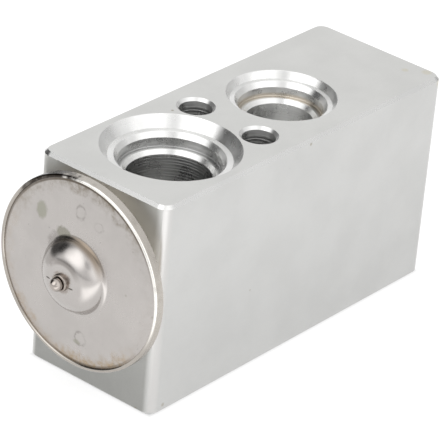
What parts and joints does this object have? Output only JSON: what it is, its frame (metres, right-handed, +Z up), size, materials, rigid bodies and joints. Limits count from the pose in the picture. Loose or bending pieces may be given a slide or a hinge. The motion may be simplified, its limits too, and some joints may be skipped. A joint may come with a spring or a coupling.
{
  "type": "block expansion valve",
  "caption": "Block-type thermostatic expansion valve: bored aluminium block with a welded power head, ball valve and adjusting screw.",
  "frame": {"origin": "midway between the two bolt holes, on the lower port face", "axes": "+X along the block, from the power head towards the adjusting screw; +Z up along the bolt holes, towards the upper port face; +Y across the block, from bolt hole to bolt hole"},
  "size_m": [0.0912, 0.037, 0.0437],
  "materials": {
    "block_aluminium": "satin machined",
    "head_steel": "drawn stainless with heat tint",
    "plug_steel": "bright",
    "base_steel": "drawn stainless",
    "diaphragm_steel": "rolled",
    "seal_rubber": "moulded",
    "pad_brass": "turned",
    "stem_aluminium": "turned",
    "strip_steel": "rolled strip",
    "pin_steel": "ground",
    "spring_steel": "drawn wire",
    "screw_brass": "turned"
  },
  "bodies": {
    "valve": {"valve_block": "block_aluminium", "head_cover": "head_steel", "charge_plug": "plug_steel", "head_base": "base_steel", "diaphragm": "diaphragm_steel", "head_seal": "seal_rubber", "stem_seal": "seal_rubber", "seal_retainer": "strip_steel", "valve_spring": "spring_steel"},
    "stem_train": {"diaphragm_pad": "pad_brass", "sensing_stem": "stem_aluminium", "push_pin": "pin_steel", "valve_ball": "pin_steel", "ball_carrier": "pad_brass", "damping_ring": "strip_steel"},
    "adjuster_travel": {"adjuster_seal": "seal_rubber"},
    "adjuster": {"adjusting_screw": "screw_brass"}
  },
  "joints": [
    {"name": "stem_travel", "type": "slide", "parent": "valve", "child": "stem_train", "axis": [1, 0, 0], "range_m": [-0.0007, 0], "stiffness_N_per_m": 200, "springref_m": 0.001, "deforming": ["diaphragm", "valve_spring"]},
    {"name": "adjuster_advance", "type": "slide", "parent": "valve", "child": "adjuster_travel", "axis": [1, 0, 0], "range_m": [-0.001, 0.001], "deforming": ["valve_spring"]},
    {"name": "adjuster_turn", "type": "hinge", "parent": "adjuster_travel", "child": "adjuster", "pos_m": [0.04, 0, 0.0251], "axis": [1, 0, 0], "range_deg": [-360, 360]}
  ],
  "couplings": [
    {"joint": "adjuster_turn", "follows": "adjuster_advance", "rad_per_m": 6283.2}
  ]
}
